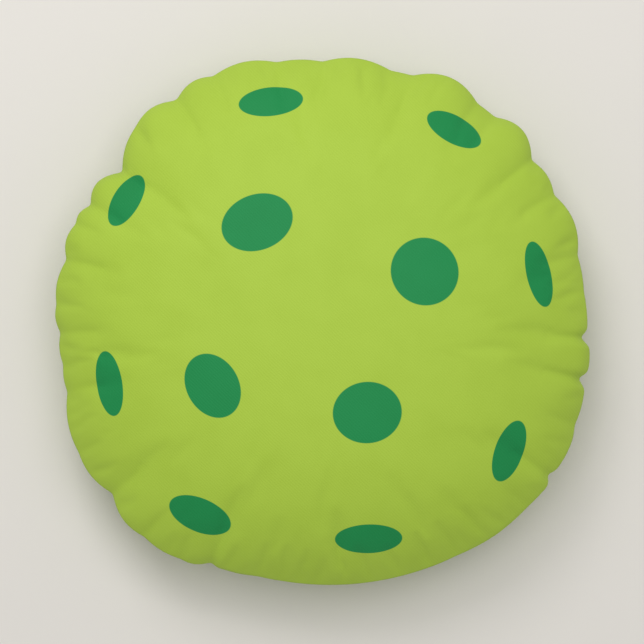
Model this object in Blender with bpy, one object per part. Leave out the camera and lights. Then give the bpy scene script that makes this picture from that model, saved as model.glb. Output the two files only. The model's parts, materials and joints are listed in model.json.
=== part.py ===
"""Round throw pillow: a zipped cover round a stuffed insert.

The pillow lies flat on its back panel. +Z points up through the front panel,
+X to the right and +Y to the top of its print. The origin is the centre of the
footprint, on the surface that the pillow lies on. Sizes here are millimetres
and turn into metres where a mesh or a place is made.

Most pieces follow the rim, so they are drawn as sections. A section point is
(share, inset, height): share of the way out to the rim, inset back from there,
and height above the seam plane.
"""

import math

import bmesh
import bpy
from mathutils import Vector

MM = 0.001

# Pillow
FRONT_RISE = 60.0  # crown of the front panel above the seam plane
BACK_DROP = 56.0  # seam plane above the resting surface
MEAN_RADIUS = 190.0  # mean radius of the stuffed outline
REST_SHARE = 0.29  # share of the back that the weight presses flat
CROWN_POWER = 2.3  # how broad the crown is
SHOULDER_POWER = 0.62  # how full the shoulder is
ROLL = 5.0  # height where the panel is widest, above the sunken seam

# The rim's fullest and most drawn-in places: angle in degrees, radius in mm
LOBES = (
    (4.0, 186.0),
    (48.0, 195.0),
    (85.0, 188.0),
    (112.0, 193.5),
    (145.0, 187.5),
    (168.0, 190.5),
    (188.0, 187.0),
    (228.0, 196.5),
)

# Zip: it follows one true arc, so that the slider can run along it
ZIP_CENTRE = (5.0, 20.0)  # centre of the arc, from the centre of the panels
ZIP_RADIUS = 204.5  # radius of the rim along the zip
ARC_START, ARC_END = 246.0, 321.0  # the stretch of rim that is a true arc
ZIP_START, ZIP_END = 249.0, 318.0  # the open-seamed stretch that holds the zip
ZIP_STEPS = 18
RIM_STEPS = 38
TAPE_MARGIN = 0.8  # degrees from the open seam's end to the tape's end
CHAIN_MARGIN = 2.0  # degrees from the open seam's end to the coil's end
SLIDER_REST = 253.0  # slider at the closed end of the chain
STOP_LENGTH = 0.7  # degrees of arc

# Sewing
FABRIC = 1.0  # thickness of a panel or a casing
LIP = 0.15  # half the gap between two panels sewn together
ZIP_LIP = 0.8  # half the slit that the slider's neck runs in
GROOVE = 3.0  # how far the seam sinks in behind the rim
TUNNEL = 3.6  # half height of the tunnel behind the slit
CASING_GAP = 1.2  # room between the cover and the insert
FILL_GAP = 0.5  # room between the casing and its fill
CASING_SEAM_INSETS = (18.0, 27.5)  # seam of the casing: elsewhere, and behind the zip
DOME_SHARES = (0.25, 0.47, 0.65, 0.79, 0.89, 0.95, 0.985)

# Zip hardware
COIL_RADIUS = 0.9
COIL_INSET, COIL_HEIGHT = 7.5, 1.1
TAPE_INSETS = (8.8, 24.5)
TAPE_HEIGHTS = (0.3, 0.8)
ROW_INSET, ROW_HEIGHT = 17.0, 2.75  # stitched row on the allowance
THREAD_RADIUS = 0.25
SEAM_THREAD_RADIUS = 0.3
SLIDER_HALF_LENGTH = 4.5
PIVOT_INSET = 2.0  # eye of the slider's neck, behind the rim
EYE_RADIUS, NECK_RADIUS = 1.1, 1.9
NECK_HALF_THICKNESS = 0.5
PULL_LENGTH = 18.0
PULL_HALF_WIDTH = 2.0
PULL_ROOT_HALF_WIDTH = 1.7
PULL_HALF_THICKNESS = 0.5
PULL_ROOT = (-0.5, 3.4)  # its straight root, along the pull from the pivot
PULL_SLOT = (0.5, 3.0)  # slot that clears the eye's rim
PULL_HOLE_HALF_WIDTH = 0.8  # of the slot and of the round hole at the tip
CUT_REACH = 1.0  # how far a cutting tool reaches out of each face
PULL_TILT = 2.5  # degrees that the pull leans in to lie along the arc

LABEL_THICKNESS = 0.4
LABEL_GAP = 0.4  # room between the cover and a label

# Finishes: linear colour, roughness, metallic
LIME = ((0.402, 0.565, 0.075), 0.85, 0.0)
WHITE_CLOTH = ((0.80, 0.80, 0.78), 0.90, 0.0)
FIBRE = ((0.86, 0.86, 0.85), 0.95, 0.0)
LIME_THREAD = ((0.38, 0.54, 0.08), 0.60, 0.0)
WHITE_THREAD = ((0.78, 0.78, 0.76), 0.60, 0.0)
LIME_TAPE = ((0.34, 0.49, 0.06), 0.80, 0.0)
LIME_NYLON = ((0.36, 0.52, 0.07), 0.40, 0.0)
LIME_ENAMEL = ((0.33, 0.48, 0.05), 0.30, 0.6)
SATIN = ((0.88, 0.88, 0.86), 0.45, 0.0)


def smooth(share):
    """Ease from 0 to 1."""
    share = min(max(share, 0.0), 1.0)
    return share * share * (3.0 - 2.0 * share)


def polar(radius, degrees, centre=(0.0, 0.0)):
    """Point at a radius and an angle about a centre."""
    turn = math.radians(degrees)
    return Vector((centre[0] + radius * math.cos(turn), centre[1] + radius * math.sin(turn)))


def arc_station(degrees):
    """Rim point on the zip's arc: its angle and radius about the panels' centre."""
    point = polar(ZIP_RADIUS, degrees, ZIP_CENTRE)
    return math.degrees(math.atan2(point.y, point.x)) % 360.0, point.length


def lobe_radius(degrees):
    """Rim radius away from the zip, eased from one lobe or tuck to the next."""
    first, last = arc_station(ARC_END), arc_station(ARC_START)
    knots = [(first[0] - 360.0, first[1]), *LOBES, last]
    for (start, low), (end, high) in zip(knots, knots[1:]):
        if start <= degrees <= end:
            return low + (high - low) * smooth((degrees - start) / (end - start))
    raise ValueError(f"{degrees} degrees is on the zip's arc")


def rim_stations():
    """Stations round the rim: (angle, radius, how far the seam is opened for the zip)."""
    stations = []
    ramp_in = 0.5 * (ARC_START + ZIP_START)
    ramp_out = 0.5 * (ARC_END + ZIP_END)
    arc = [(ARC_START, 0.0), (ramp_in, 0.3)]
    for step in range(ZIP_STEPS + 1):
        arc.append((ZIP_START + (ZIP_END - ZIP_START) * step / ZIP_STEPS, 1.0))
    arc += [(ramp_out, 0.3), (ARC_END, 0.0)]
    for degrees, opened in arc:
        stations.append((*arc_station(degrees), opened))
    first = stations[-1][0] - 360.0
    last = stations[0][0]
    for step in range(1, RIM_STEPS):
        degrees = first + (last - first) * step / RIM_STEPS
        stations.append((degrees, lobe_radius(degrees), 0.0))
    return stations


def panel_centre(stations):
    """Where the panels' centre goes, so that the footprint is centred on the origin."""
    points = [polar(radius, degrees) for degrees, radius, _ in stations]
    xs = [point.x for point in points]
    ys = [point.y for point in points]
    return Vector((-0.5 * (min(xs) + max(xs)), -0.5 * (min(ys) + max(ys)), BACK_DROP))


def dome_height(share, rise, flat):
    """Height of a panel above the seam plane; flat is the share of it that is level."""
    share = max(0.0, (share - flat) / (1.0 - flat))
    return ROLL + (rise - ROLL) * (1.0 - share**CROWN_POWER) ** SHOULDER_POWER


def dome(rise, flat, depth):
    """Section points of a panel's dome, centre to rim, a depth below its outer face."""
    shares = [0.0, *DOME_SHARES]
    if flat:
        shares[1] = flat
    step = 0.002
    points = []
    for share in shares:
        height = dome_height(share, rise, flat)
        out = dome_height(share + step, rise, flat)
        back = dome_height(max(share - step, 0.0), rise, flat)
        normal = Vector((back - out, 2.0 * step * MEAN_RADIUS)).normalized()
        if share <= flat:
            normal = Vector((0.0, 1.0))
        points.append((share, normal.x * depth, height - normal.y * depth))
    return points


def mix(sewn, opened, share):
    """Section points part of the way from the sewn seam's to the zip's."""
    return [
        (1.0, a[0] + (b[0] - a[0]) * share, a[1] + (b[1] - a[1]) * share)
        for a, b in zip(sewn, opened)
    ]


def cover_section(rise, flat, opened):
    """Cover panel: dome, rolled rim, lip, allowance turned inwards, and back inside."""
    rim = [(1.0, 0.0, ROLL), (1.0, 1.2, 4.3), (1.0, 2.6, 3.0)]
    sewn = [
        (GROOVE, LIP),
        (GROOVE + 1.2, LIP),
        (6.0, LIP),
        (10.0, LIP),
        (12.0, LIP),
        (15.0, LIP),
        (15.0, LIP + FABRIC),
        (12.0, LIP + FABRIC),
        (10.0, LIP + FABRIC),
        (4.4, LIP + FABRIC),
        (2.4, ROLL + 0.4),
    ]
    zipped = [
        (GROOVE, ZIP_LIP),
        (GROOVE + 1.2, ZIP_LIP),
        (4.6, TUNNEL),
        (12.2, TUNNEL),
        (13.0, 1.15),
        (25.0, 1.15),
        (25.0, 1.15 + FABRIC),
        (13.9, 1.15 + FABRIC),
        (13.1, TUNNEL + FABRIC),
        (5.2, TUNNEL + FABRIC),
        (2.4, ROLL + 0.6),
    ]
    inside = reversed(dome(rise, flat, FABRIC))
    return [*dome(rise, flat, 0.0), *rim, *mix(sewn, zipped, opened), *inside]


def casing_section(rise, flat, opened):
    """Insert casing: dome under the cover, pushed in round the cover's allowances."""
    outside = dome(rise, flat, FABRIC + CASING_GAP)[:-1]
    inside = dome(rise, flat, 2.0 * FABRIC + CASING_GAP)[:-1]
    sewn = [
        (5.4, 9.0),
        (6.6, 3.6),
        (12.0, 2.4),
        (17.0, 2.0),
        (18.0, LIP),
        (26.0, LIP),
        (26.0, LIP + FABRIC),
        (19.2, LIP + FABRIC),
        (18.2, 3.1),
        (12.0, 3.5),
        (7.6, 4.6),
        (6.5, 9.2),
    ]
    zipped = [
        (5.4, 9.0),
        (6.6, 6.2),
        (14.4, 5.8),
        (26.4, 3.2),
        (27.5, LIP),
        (35.5, LIP),
        (35.5, LIP + FABRIC),
        (28.7, LIP + FABRIC),
        (27.6, 4.1),
        (14.8, 6.9),
        (7.6, 7.2),
        (6.5, 9.2),
    ]
    return [*outside, *mix(sewn, zipped, opened), *reversed(inside)]


def fill_section(opened):
    """Half of the insert's fill, from its centre to the notch at its rim."""
    sewn = [(8.2, 9.4), (9.4, 5.4), (13.0, 4.4), (19.0, 3.7), (20.0, 1.8), (26.8, 1.8)]
    zipped = [(8.2, 9.4), (9.4, 8.2), (15.4, 7.7), (28.2, 4.9), (29.5, 1.8), (36.3, 1.8)]
    return mix(sewn, zipped, opened)


def rim_point(station, section_point, side=1.0):
    """Point of a section, in the pillow's own frame; side is -1 for the back."""
    degrees, radius, _ = station
    share, inset, height = section_point
    place = polar(share * radius - inset, degrees)
    return Vector((place.x, place.y, side * height))


def zip_point(degrees, inset, height):
    """Point at an inset and a height on the zip's arc, in the zip's own frame."""
    place = polar(ZIP_RADIUS - inset, degrees)
    return Vector((place.x, place.y, height))


def ring_section(inset, height, radius, sides):
    """Round section as (inset, height) pairs."""
    points = []
    for side in range(sides):
        turn = 2.0 * math.pi * (side + 0.5) / sides
        points.append((inset + radius * math.cos(turn), height + radius * math.sin(turn)))
    return points


def material(name, finish):
    """Principled material of one piece."""
    colour, roughness, metallic = finish
    made = bpy.data.materials.new(name)
    made.use_nodes = True
    shader = made.node_tree.nodes["Principled BSDF"]
    shader.inputs["Base Color"].default_value = (*colour, 1.0)
    shader.inputs["Roughness"].default_value = roughness
    shader.inputs["Metallic"].default_value = metallic
    return made


def new_object(name, mesh, parent, finish=None):
    """Object that holds a mesh, placed under its parent."""
    made = bpy.data.objects.new(name, mesh)
    bpy.context.scene.collection.objects.link(made)
    made.parent = parent
    if finish:
        mesh.materials.append(material(name, finish))
    return made


def body(name, rings, parent, finish, poles=None, endless=False, crease=35.0):
    """One closed body through rings of points.

    The ends are fans to two poles, flat caps, or joined to each other.
    """
    shape = bmesh.new()
    loops = [[shape.verts.new(point * MM) for point in ring] for ring in rings]
    count = len(loops[0])
    pairs = list(zip(loops, loops[1:]))
    if endless:
        pairs.append((loops[-1], loops[0]))
    for near, far in pairs:
        for k in range(count):
            after = (k + 1) % count
            shape.faces.new((near[k], near[after], far[after], far[k]))
    if poles:
        for pole, loop in zip(poles, (loops[0], loops[-1])):
            tip = shape.verts.new(pole * MM)
            for k in range(count):
                shape.faces.new((tip, loop[k], loop[(k + 1) % count]))
    elif not endless:
        shape.faces.new(loops[0])
        shape.faces.new(loops[-1])
    bmesh.ops.recalc_face_normals(shape, faces=shape.faces)
    mesh = bpy.data.meshes.new(name)
    shape.to_mesh(mesh)
    shape.free()
    mesh.shade_smooth()
    mesh.set_sharp_from_angle(angle=math.radians(crease))
    return new_object(name, mesh, parent, finish)


def shell(name, sections, stations, parent, finish, side=1.0):
    """Closed body swept round the rim from sections that start and end at the centre."""
    rings = []
    for k in range(1, len(sections[0]) - 1):
        rings.append([rim_point(s, section[k], side) for s, section in zip(stations, sections)])
    poles = [rim_point(stations[0], sections[0][k], side) for k in (0, -1)]
    return body(name, rings, parent, finish, poles)


def cover_panel(name, stations, rise, flat, side, parent):
    """Sewn panel of the cover."""
    sections = [cover_section(rise, flat, station[2]) for station in stations]
    return shell(name, sections, stations, parent, LIME, side)


def casing_panel(name, stations, rise, flat, side, parent):
    """Sewn panel of the insert's casing."""
    sections = [casing_section(rise, flat, station[2]) for station in stations]
    return shell(name, sections, stations, parent, WHITE_CLOTH, side)


def insert_fill(stations, parent):
    """Polyester fibre, one soft body with a notch where the casing's seam turns in."""
    depth = 2.0 * FABRIC + CASING_GAP + FILL_GAP
    top = dome(FRONT_RISE, 0.0, depth)[:-1]
    bottom = dome(BACK_DROP, REST_SHARE, depth)[:-1]
    sections = []
    for station in stations:
        half = fill_section(station[2])
        below = [(share, inset, -height) for share, inset, height in reversed(half)]
        base = [(share, inset, -height) for share, inset, height in reversed(bottom)]
        sections.append([*top, *half, *below, *base])
    return shell("insert_fill", sections, stations, parent, FIBRE)


def cover_seam_thread(stations, parent):
    """Thread that closes the rim, from one end of the zip round to the other."""
    sewn = [station for station in stations if station[2] == 0.0]
    sewn.sort(key=lambda station: station[0])
    arc_end = arc_station(ARC_END)[0] - 1.0
    path = [station for station in sewn if station[0] > arc_end]
    path += [station for station in sewn if station[0] <= arc_end]
    section = ring_section(GROOVE - 0.7, 0.0, SEAM_THREAD_RADIUS, 6)
    rings = [[rim_point(s, (1.0, inset, height)) for inset, height in section] for s in path]
    return body("cover_seam_thread", rings, parent, LIME_THREAD)


def insert_seam_thread(stations, parent):
    """Thread that closes the insert's casing, all the way round."""
    sewn, opened = CASING_SEAM_INSETS
    rings = []
    for station in stations:
        seam = sewn + (opened - sewn) * station[2]
        section = ring_section(seam - 0.8, 0.0, SEAM_THREAD_RADIUS, 6)
        rings.append([rim_point(station, (1.0, inset, height)) for inset, height in section])
    return body("insert_seam_thread", rings, parent, WHITE_THREAD, endless=True)


def label(name, stations, rise, flat, side, shares, parent):
    """Blank satin label, lying between the cover and the insert on a run of stations."""
    depths = (FABRIC + LABEL_GAP, FABRIC + LABEL_GAP + LABEL_THICKNESS)
    faces = [
        [point for point in dome(rise, flat, depth) if point[0] in shares]
        for depth in depths
    ]
    section = faces[0] + faces[1][::-1]
    rings = [[rim_point(station, point, side) for point in section] for station in stations]
    return body(name, rings, parent, SATIN)


def zip_sweep(name, section, start, end, parent, finish):
    """Closed body with a constant section along the zip's arc."""
    rings = []
    for step in range(ZIP_STEPS + 1):
        degrees = start + (end - start) * step / ZIP_STEPS
        rings.append([zip_point(degrees, inset, height) for inset, height in section])
    return body(name, rings, parent, finish)


def zip_side(side_name, side, parent):
    """Tape, coil and stitched row of one side of the zip."""
    low, high = TAPE_INSETS
    bottom, top = (side * height for height in TAPE_HEIGHTS)
    tape = [(low, bottom), (high, bottom), (high, top), (low, top)]
    tape_ends = (ZIP_START + TAPE_MARGIN, ZIP_END - TAPE_MARGIN)
    coil_ends = (ZIP_START + CHAIN_MARGIN, ZIP_END - CHAIN_MARGIN)
    coil = ring_section(COIL_INSET, side * COIL_HEIGHT, COIL_RADIUS, 8)
    row = ring_section(ROW_INSET, side * ROW_HEIGHT, THREAD_RADIUS, 4)
    zip_sweep(f"zipper_tape_{side_name}", tape, *tape_ends, parent, LIME_TAPE)
    zip_sweep(f"zipper_coil_{side_name}", coil, *coil_ends, parent, LIME_NYLON)
    zip_sweep(f"zipper_stitching_{side_name}", row, *tape_ends, parent, LIME_THREAD)


def zip_stop(name, start, parent):
    """Crimped stop past one end of the coils."""
    section = [(6.2, -2.2), (8.5, -2.2), (8.5, 2.2), (6.2, 2.2)]
    rings = [
        [zip_point(degrees, inset, height) for inset, height in section]
        for degrees in (start, start + STOP_LENGTH)
    ]
    made = body(name, rings, parent, LIME_ENAMEL, crease=30.0)
    bevel = made.modifiers.new("edges", "BEVEL")
    bevel.width = 0.3 * MM
    bevel.segments = 1
    return made


def boolean(target, tool, operation):
    """Join or cut the target with a tool that stays hidden."""
    tool.hide_render = True
    tool.display_type = "WIRE"
    cut = target.modifiers.new(tool.name, "BOOLEAN")
    cut.operation = operation
    cut.object = tool


def plate(name, outline, low, high, parent, finish=None):
    """Flat plate from an outline in X and Y, between two heights."""
    rings = [[Vector((x, y, z)) for x, y in outline] for z in (low, high)]
    return body(name, rings, parent, finish)


def circle(centre_x, centre_y, radius, count):
    """Outline of a circle."""
    points = []
    for k in range(count):
        turn = 2.0 * math.pi * k / count
        points.append((centre_x + radius * math.cos(turn), centre_y + radius * math.sin(turn)))
    return points


def slider(parent):
    """Slider body wrapped round both coils, and its neck with an eye for the pull.

    Its origin is the centre of the zip's arc. It is drawn at angle zero, where
    +X points out through the slit and +Y along the chain.
    """
    wrap = [
        (5.0, -3.2),
        (10.0, -3.2),
        (10.0, -1.3),
        (9.2, -1.3),
        (9.2, -2.4),
        (5.9, -2.4),
        (5.9, 2.4),
        (9.2, 2.4),
        (9.2, 1.3),
        (10.0, 1.3),
        (10.0, 3.2),
        (5.0, 3.2),
    ]
    rings = [
        [Vector((ZIP_RADIUS - inset, along, height)) for inset, height in wrap]
        for along in (-SLIDER_HALF_LENGTH, SLIDER_HALF_LENGTH)
    ]
    made = body("zipper_slider", rings, parent, LIME_ENAMEL)
    eye_x = ZIP_RADIUS - PIVOT_INSET
    nose = [point for point in circle(eye_x, 0.0, NECK_RADIUS, 16) if point[0] >= eye_x - 0.01]
    nose.sort(key=lambda point: point[1])
    root_x = ZIP_RADIUS - 5.4
    foot = [(root_x, 3.0), (root_x, -3.0)]
    neck_height = NECK_HALF_THICKNESS
    neck = plate("slider_neck_tool", [*foot, *nose], -neck_height, neck_height, made)
    hole = circle(eye_x, 0.0, EYE_RADIUS, 12)
    eye = plate("slider_eye_tool", hole, -CUT_REACH, CUT_REACH, made)
    boolean(made, neck, "UNION")
    boolean(made, eye, "DIFFERENCE")
    return made


def pull(parent):
    """Pull: a flat tab whose end bar passes through the slider's eye.

    Its origin is the middle of that bar, and it is drawn along +Y.
    """
    half, root_half = PULL_HALF_WIDTH, PULL_ROOT_HALF_WIDTH
    (bar, root), shoulder = PULL_ROOT, PULL_LENGTH - PULL_HALF_WIDTH
    tip = []
    for degrees in range(-75, 90, 30):
        place = polar(half, degrees, (shoulder, 0.0))
        tip.append((place.x, place.y))
    outline = [(bar, -root_half), (root, -root_half), (shoulder, -half), *tip]
    outline += [(shoulder, half), (root, root_half), (bar, root_half)]
    faces = (-PULL_HALF_THICKNESS, PULL_HALF_THICKNESS)
    rings = [[Vector((x, along, height)) for along, height in outline] for x in faces]
    made = body("zipper_pull", rings, parent, LIME_ENAMEL)
    near, far = PULL_SLOT
    wide = PULL_HOLE_HALF_WIDTH
    corners = ((near, -wide), (far, -wide), (far, wide), (near, wide))
    reach = (-CUT_REACH, CUT_REACH)
    slot = [[Vector((x, along, height)) for along, height in corners] for x in reach]
    round_hole = circle(shoulder, 0.0, wide, 10)
    eye = [[Vector((x, along, height)) for along, height in round_hole] for x in reach]
    boolean(made, body("pull_slot_tool", slot, made, None), "DIFFERENCE")
    boolean(made, body("pull_eye_tool", eye, made, None), "DIFFERENCE")
    return made


def empty(name, parent, location):
    """Empty that carries other pieces."""
    made = bpy.data.objects.new(name, None)
    bpy.context.scene.collection.objects.link(made)
    made.parent = parent
    made.location = Vector(location) * MM
    return made


def main():
    """Build every piece under the pillow's centre and the zip's."""
    for old in list(bpy.data.objects):
        bpy.data.objects.remove(old)

    stations = rim_stations()
    coarse = stations[::2]
    pillow = empty("pillow_centre", None, panel_centre(stations))
    zipper = empty("zip_arc_centre", pillow, (*ZIP_CENTRE, 0.0))

    cover_panel("cover_front_panel", stations, FRONT_RISE, 0.0, 1.0, pillow)
    cover_panel("cover_back_panel", stations, BACK_DROP, REST_SHARE, -1.0, pillow)
    cover_seam_thread(stations, pillow)

    for side_name, side in (("front", 1.0), ("back", -1.0)):
        zip_side(side_name, side, zipper)
    chain_gap = 0.15
    zip_stop("zipper_top_stop", ZIP_START + CHAIN_MARGIN - chain_gap - STOP_LENGTH, zipper)
    zip_stop("zipper_bottom_stop", ZIP_END - CHAIN_MARGIN + chain_gap, zipper)
    zip_slider = slider(zipper)
    zip_slider.rotation_euler.z = math.radians(SLIDER_REST)
    zip_pull = pull(zip_slider)
    zip_pull.location = Vector((ZIP_RADIUS - PIVOT_INSET, 0.0, 0.0)) * MM
    zip_pull.rotation_euler.z = math.radians(PULL_TILT)

    casing_panel("insert_casing_front", coarse, FRONT_RISE, 0.0, 1.0, pillow)
    casing_panel("insert_casing_back", coarse, BACK_DROP, REST_SHARE, -1.0, pillow)
    insert_seam_thread(coarse, pillow)
    insert_fill(coarse, pillow)

    care_run = stations[-6:-3]
    law_run = stations[30:33]
    label("cover_care_label", care_run, BACK_DROP, REST_SHARE, -1.0, (0.79, 0.89, 0.95), pillow)
    label("insert_law_label", law_run, FRONT_RISE, 0.0, 1.0, (0.65, 0.79), pillow)


main()
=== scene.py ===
"""Round throw pillow: a printed, zipped cover round a stuffed insert.

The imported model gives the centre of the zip's arc, and with it the panels'
centre and the seam plane. Lengths in the classes are millimetres, and turn
into metres where a mesh or an object is made. Angles are degrees,
anticlockwise from +X as seen from above.

Pieces that follow the rim are drawn as rows. A row point is (inset, height):
how far in from the rim, and how far above the seam plane.
"""

import json
import logging
import math
from dataclasses import dataclass, field
from enum import Enum
from typing import Iterable, Sequence

import bmesh
import bpy
import numpy as np
from mathutils import Matrix, Vector, noise

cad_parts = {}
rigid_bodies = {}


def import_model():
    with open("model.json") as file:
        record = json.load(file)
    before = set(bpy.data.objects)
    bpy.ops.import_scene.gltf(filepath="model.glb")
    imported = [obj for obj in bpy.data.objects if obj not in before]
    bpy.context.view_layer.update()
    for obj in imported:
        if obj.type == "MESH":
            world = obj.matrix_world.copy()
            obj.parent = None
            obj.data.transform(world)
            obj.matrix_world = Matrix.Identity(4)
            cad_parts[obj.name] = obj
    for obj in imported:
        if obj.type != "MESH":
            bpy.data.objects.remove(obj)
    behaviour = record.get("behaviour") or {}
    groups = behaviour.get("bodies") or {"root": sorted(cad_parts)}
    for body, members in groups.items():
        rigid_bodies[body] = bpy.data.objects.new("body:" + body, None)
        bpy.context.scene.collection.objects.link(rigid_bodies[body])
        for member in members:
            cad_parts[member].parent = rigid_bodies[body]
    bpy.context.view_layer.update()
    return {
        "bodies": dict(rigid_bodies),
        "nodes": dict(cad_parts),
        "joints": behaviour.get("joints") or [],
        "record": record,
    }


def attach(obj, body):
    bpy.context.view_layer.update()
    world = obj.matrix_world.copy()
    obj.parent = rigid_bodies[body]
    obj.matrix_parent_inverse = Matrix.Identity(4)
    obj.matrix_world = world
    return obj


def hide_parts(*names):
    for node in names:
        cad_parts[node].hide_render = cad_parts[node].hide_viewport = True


LOG = logging.getLogger("pillow")
MM = 0.001
WELD_DISTANCE = 0.002

# Sockets of a Mix node that mixes colours
MIX_SHARE, MIX_FROM, MIX_TO, MIX_RESULT = 0, 6, 7, 2

Point = tuple[float, float]
Rows = Sequence[Point]


class Side(Enum):
    """The two sides of the seam plane, by the sign of their height."""

    FRONT = 1
    BACK = -1

    @property
    def word(self) -> str:
        """Name of the side, as piece names give it."""
        return self.name.lower()


# --- small tools ---------------------------------------------------------------


def ease(share: float) -> float:
    """Ease from 0 to 1."""
    share = min(max(share, 0.0), 1.0)
    return share * share * (3.0 - 2.0 * share)


def between(low: float, high: float, share: float) -> float:
    """Value a share of the way from low to high."""
    return low + (high - low) * share


def polar(radius: float, degrees: float) -> Vector:
    """Point in the plane at a radius and an angle."""
    turn = math.radians(degrees)
    return Vector((radius * math.cos(turn), radius * math.sin(turn), 0.0))


def deselect_all() -> None:
    """Leave nothing selected and nothing active."""
    bpy.ops.object.select_all(action="DESELECT")
    bpy.context.view_layer.objects.active = None


def pick(made: bpy.types.Object) -> None:
    """Select one object and make it active.

    Args:
        made: Object to select.
    """
    deselect_all()
    made.select_set(True)
    bpy.context.view_layer.objects.active = made


def object_from(name: str, places: np.ndarray, faces: Sequence[Sequence[int]]) -> bpy.types.Object:
    """Make a mesh object from places in metres.

    Args:
        name: Name of the object and its mesh.
        places: One row of x, y and z for each vertex.
        faces: Vertex numbers of each face.

    Returns:
        The new object, in the scene.
    """
    mesh = bpy.data.meshes.new(name)
    mesh.from_pydata(places.tolist(), [], [list(face) for face in faces])
    made = bpy.data.objects.new(name, mesh)
    bpy.context.scene.collection.objects.link(made)
    return made


def add_modifier(made: bpy.types.Object, kind: str, **settings: object) -> None:
    """Add a modifier, set it up and apply it.

    Args:
        made: Object to change.
        kind: Type of the modifier.
        **settings: Its properties.
    """
    pick(made)
    modifier = made.modifiers.new(kind.lower(), kind)
    for name, value in settings.items():
        setattr(modifier, name, value)
    bpy.ops.object.modifier_apply(modifier=modifier.name)


def face_out(made: bpy.types.Object) -> None:
    """Merge doubles and turn all faces outwards.

    Args:
        made: Piece to change.
    """
    pick(made)
    bpy.ops.object.mode_set(mode="EDIT")
    bpy.ops.mesh.select_all(action="SELECT")
    bpy.ops.mesh.remove_doubles(threshold=WELD_DISTANCE * MM)
    bpy.ops.mesh.normals_make_consistent(inside=False)
    bpy.ops.object.mode_set(mode="OBJECT")


def copies(template: bpy.types.Object, places: Iterable[Matrix], name: str) -> bpy.types.Object:
    """Copy a small piece to many places and join the copies into one piece.

    Args:
        template: Piece drawn at the origin; it is removed at the end.
        places: World matrix of each copy.
        name: Name of the joined piece.

    Returns:
        The joined piece, with its places in its mesh.
    """
    made = []
    for place in places:
        copy = bpy.data.objects.new(name, template.data.copy())
        copy.data.transform(place)
        bpy.context.scene.collection.objects.link(copy)
        made.append(copy)
    bpy.data.objects.remove(template)
    deselect_all()
    for copy in made:
        copy.select_set(True)
    bpy.context.view_layer.objects.active = made[0]
    bpy.ops.object.join()
    made[0].name = name
    return made[0]


# --- nodes and finishes --------------------------------------------------------


def linear(colour: str) -> tuple[float, float, float, float]:
    """Turn an sRGB hex colour such as "#AAC64D" into linear RGBA."""
    channels = [int(colour[k : k + 2], 16) / 255.0 for k in (1, 3, 5)]
    return (*(c / 12.92 if c <= 0.04045 else ((c + 0.055) / 1.055) ** 2.4 for c in channels), 1.0)


def add_node(
    tree: bpy.types.NodeTree,
    kind: str,
    settings: dict[str, object] | None = None,
    sockets: dict[str | int, object] | None = None,
) -> bpy.types.Node:
    """Add a node with its settings and links.

    Args:
        tree: Tree that gets the node.
        kind: Type of the node.
        settings: Its properties.
        sockets: Its inputs by name or number, each with a value or the output to link.

    Returns:
        The new node.
    """
    made = tree.nodes.new(kind)
    for name, value in (settings or {}).items():
        setattr(made, name, value)
    for name, value in (sockets or {}).items():
        if isinstance(value, bpy.types.NodeSocket):
            tree.links.new(value, made.inputs[name])
        else:
            made.inputs[name].default_value = value
    return made


@dataclass(frozen=True)
class Finish:
    """A material: its name, and the values that are the same all over it."""

    name: str
    roughness: float
    metallic: float = 0.0
    sheen: float = 0.0
    coat: float = 0.0
    specular: float = 0.5

    def material(self) -> bpy.types.Material:
        """The material, made once and then shared.

        Returns:
            The material, from the first piece that asked for it.
        """
        found = bpy.data.materials.get(self.name)
        if found:
            return found
        made = bpy.data.materials.new(self.name)
        made.use_nodes = True
        tree = made.node_tree
        shader = tree.nodes["Principled BSDF"]
        shader.inputs["Roughness"].default_value = self.roughness
        shader.inputs["Metallic"].default_value = self.metallic
        shader.inputs["Specular IOR Level"].default_value = self.specular
        shader.inputs["Sheen Weight"].default_value = self.sheen
        shader.inputs["Coat Weight"].default_value = self.coat
        self.draw(tree, shader)
        return made

    def draw(self, tree: bpy.types.NodeTree, shader: bpy.types.Node) -> None:
        """Add the nodes of the surface; each finish has its own."""
        raise NotImplementedError

    def dress(self, made: bpy.types.Object) -> None:
        """Give the finish to a piece."""
        made.data.materials.clear()
        made.data.materials.append(self.material())


@dataclass(frozen=True)
class Spot:
    """One printed spot on the flat cloth: centre, length and width, and tilt of its length."""

    x: float
    y: float
    length: float
    width: float
    tilt: float


# The ball print. Its spots are the holes of a ball drawn as seen from the front,
# so they narrow towards the rim.
PRINT = (
    Spot(32.5, -65.0, 50.5, 45.0, 5.0),
    Spot(74.5, 38.0, 50.5, 49.0, 140.0),
    Spot(-48.0, 74.0, 53.5, 41.0, 20.0),
    Spot(-80.5, -45.5, 49.5, 38.5, 120.0),
    Spot(34.0, -159.5, 50.0, 22.5, 1.0),
    Spot(-158.0, -44.5, 48.5, 20.0, 99.0),
    Spot(160.0, 36.5, 49.5, 19.0, 103.0),
    Spot(138.0, -94.5, 47.5, 22.0, 71.0),
    Spot(-91.0, -142.0, 48.5, 26.0, 157.0),
    Spot(-38.5, 164.5, 48.0, 22.5, 6.0),
    Spot(-146.0, 91.5, 42.5, 21.0, 60.0),
    Spot(97.5, 144.0, 44.5, 21.5, 152.0),
)


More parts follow.
